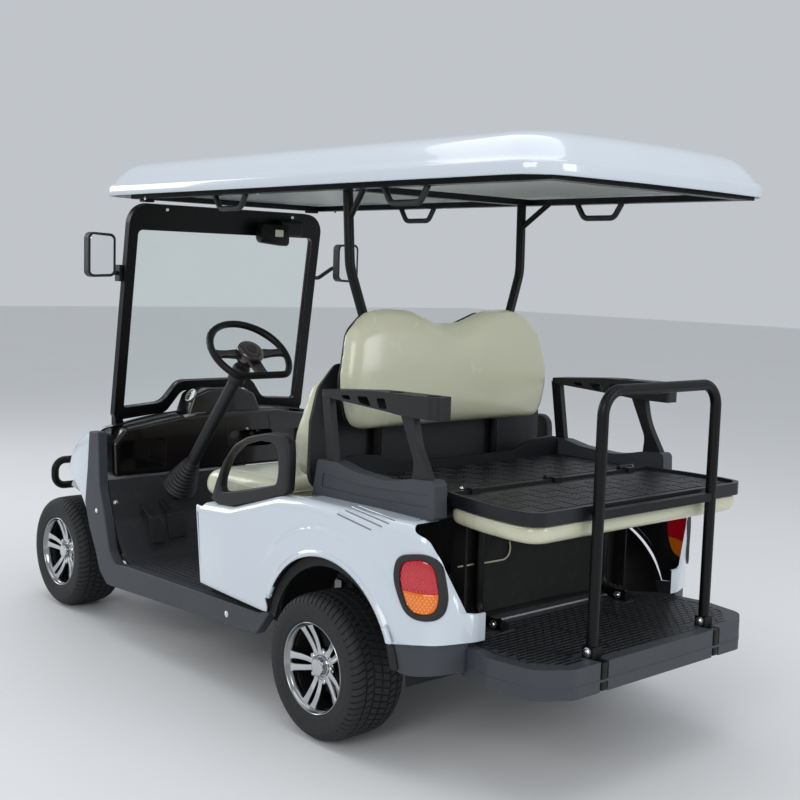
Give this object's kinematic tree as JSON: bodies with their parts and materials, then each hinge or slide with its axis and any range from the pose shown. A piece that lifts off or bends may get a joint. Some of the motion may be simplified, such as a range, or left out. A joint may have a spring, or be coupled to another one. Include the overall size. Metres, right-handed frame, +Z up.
{
  "type": "golf cart",
  "caption": "Electric golf cart with roof, clear windshield, front bench and a rear-facing seat that flips over into a cargo deck with footboard and grab bar.",
  "frame": {"origin": "on the ground, at the middle of the cart's overall length and width", "axes": "+X forward, +Y to the driver's left, +Z up"},
  "size_m": [2.751, 1.212, 1.688],
  "materials": {
    "white_shell": "glossy bluish white",
    "black_frame": "semi-gloss black powder coat",
    "dark_plastic": "textured dark grey plastic",
    "black_plastic": "textured black plastic",
    "gloss_black": "glossy brown-black plastic",
    "cream_vinyl": "smooth cream vinyl",
    "rubber_mat": "ribbed black rubber",
    "tyre": "road tyre",
    "rim": "machined and polished, black in the recesses",
    "glass": "clear acrylic sheet",
    "lamp_red": "red and amber lens in a black bezel",
    "lamp_clear": "clear lens",
    "steel": "bare and painted steel",
    "motor": "painted housing",
    "battery": "battery case"
  },
  "bodies": {
    "chassis": {"armrest_left": "dark_plastic", "armrest_right": "dark_plastic", "battery_pack": "battery", "cargo_tray": "black_plastic", "chassis_frame": "black_frame", "dashboard": "gloss_black", "deck_frame": "black_frame", "deck_posts": "black_frame", "drive_motor": "motor", "floorboard": "rubber_mat", "footboard": "dark_plastic", "footboard_arms": "black_frame", "front_axle": "steel", "front_bumper": "black_frame", "front_cowl": "white_shell", "front_seat_back": "cream_vinyl", "grab_bar": "black_frame", "headlights": "lamp_clear", "hip_restraints": "dark_plastic", "leaf_springs": "steel", "mirrors": "black_plastic", "pedals": "black_plastic", "rear_axle": "steel", "rear_body": "white_shell", "rear_bulkhead": "black_plastic", "rear_corner_trims": "dark_plastic", "rear_seat_back": "cream_vinyl", "rear_seat_legs": "black_frame", "rocker_panels": "dark_plastic", "roof_canopy": "white_shell", "roof_frame": "black_frame", "roof_handles": "black_plastic", "seat_back_shells": "black_plastic", "seat_base": "black_plastic", "steering_column": "black_plastic", "taillights": "lamp_red", "wheel_liners": "black_plastic", "windshield_frame": "black_frame", "windshield_glass": "glass"},
    "knuckle_left": {"knuckle_left": "steel"},
    "knuckle_right": {"knuckle_right": "steel"},
    "steering_wheel": {"steering_wheel": "black_plastic"},
    "front_seat": {"seat_board": "black_plastic", "seat_cushion": "cream_vinyl"},
    "rear_flip_seat": {"flip_panel": "black_plastic", "flip_cushion": "cream_vinyl"},
    "wheel_front_left": {"tyre_front_left": "tyre", "rim_front_left": "rim"},
    "wheel_front_right": {"tyre_front_right": "tyre", "rim_front_right": "rim"},
    "wheel_rear_left": {"tyre_rear_left": "tyre", "rim_rear_left": "rim"},
    "wheel_rear_right": {"tyre_rear_right": "tyre", "rim_rear_right": "rim"}
  },
  "joints": [
    {"name": "steer_left", "type": "hinge", "parent": "chassis", "child": "knuckle_left", "pos_m": [1.0425, 0.325, 0.208], "axis": [0, 0, 1], "range_deg": [-28, 28]},
    {"name": "steer_right", "type": "hinge", "parent": "chassis", "child": "knuckle_right", "pos_m": [1.0425, -0.325, 0.208], "axis": [0, 0, 1], "range_deg": [-28, 28]},
    {"name": "steering_wheel_turn", "type": "hinge", "parent": "chassis", "child": "steering_wheel", "pos_m": [0.1395, 0.29, 1.028], "axis": [-0.6456, 0, 0.7637], "range_deg": [-393, 393]},
    {"name": "roll_front_left", "type": "hinge", "parent": "knuckle_left", "child": "wheel_front_left", "pos_m": [1.0425, 0.454, 0.208], "axis": [0, 1, 0], "continuous": true},
    {"name": "roll_front_right", "type": "hinge", "parent": "knuckle_right", "child": "wheel_front_right", "pos_m": [1.0425, -0.454, 0.208], "axis": [0, 1, 0], "continuous": true},
    {"name": "roll_rear_left", "type": "hinge", "parent": "chassis", "child": "wheel_rear_left", "pos_m": [-0.6275, 0.505, 0.208], "axis": [0, 1, 0], "continuous": true},
    {"name": "roll_rear_right", "type": "hinge", "parent": "chassis", "child": "wheel_rear_right", "pos_m": [-0.6275, -0.505, 0.208], "axis": [0, 1, 0], "continuous": true},
    {"name": "front_seat_lift", "type": "hinge", "parent": "chassis", "child": "front_seat", "pos_m": [-0.0175, 0, 0.562], "axis": [0, 1, 0], "range_deg": [0, 75]},
    {"name": "rear_seat_flip", "type": "hinge", "parent": "chassis", "child": "rear_flip_seat", "pos_m": [-0.9625, 0, 0.746], "axis": [0, 1, 0], "range_deg": [0, 180]}
  ],
  "couplings": [
    {"joint": "steer_right", "follows": "steer_left", "ratio": 1},
    {"joint": "steering_wheel_turn", "follows": "steer_left", "ratio": 14}
  ]
}
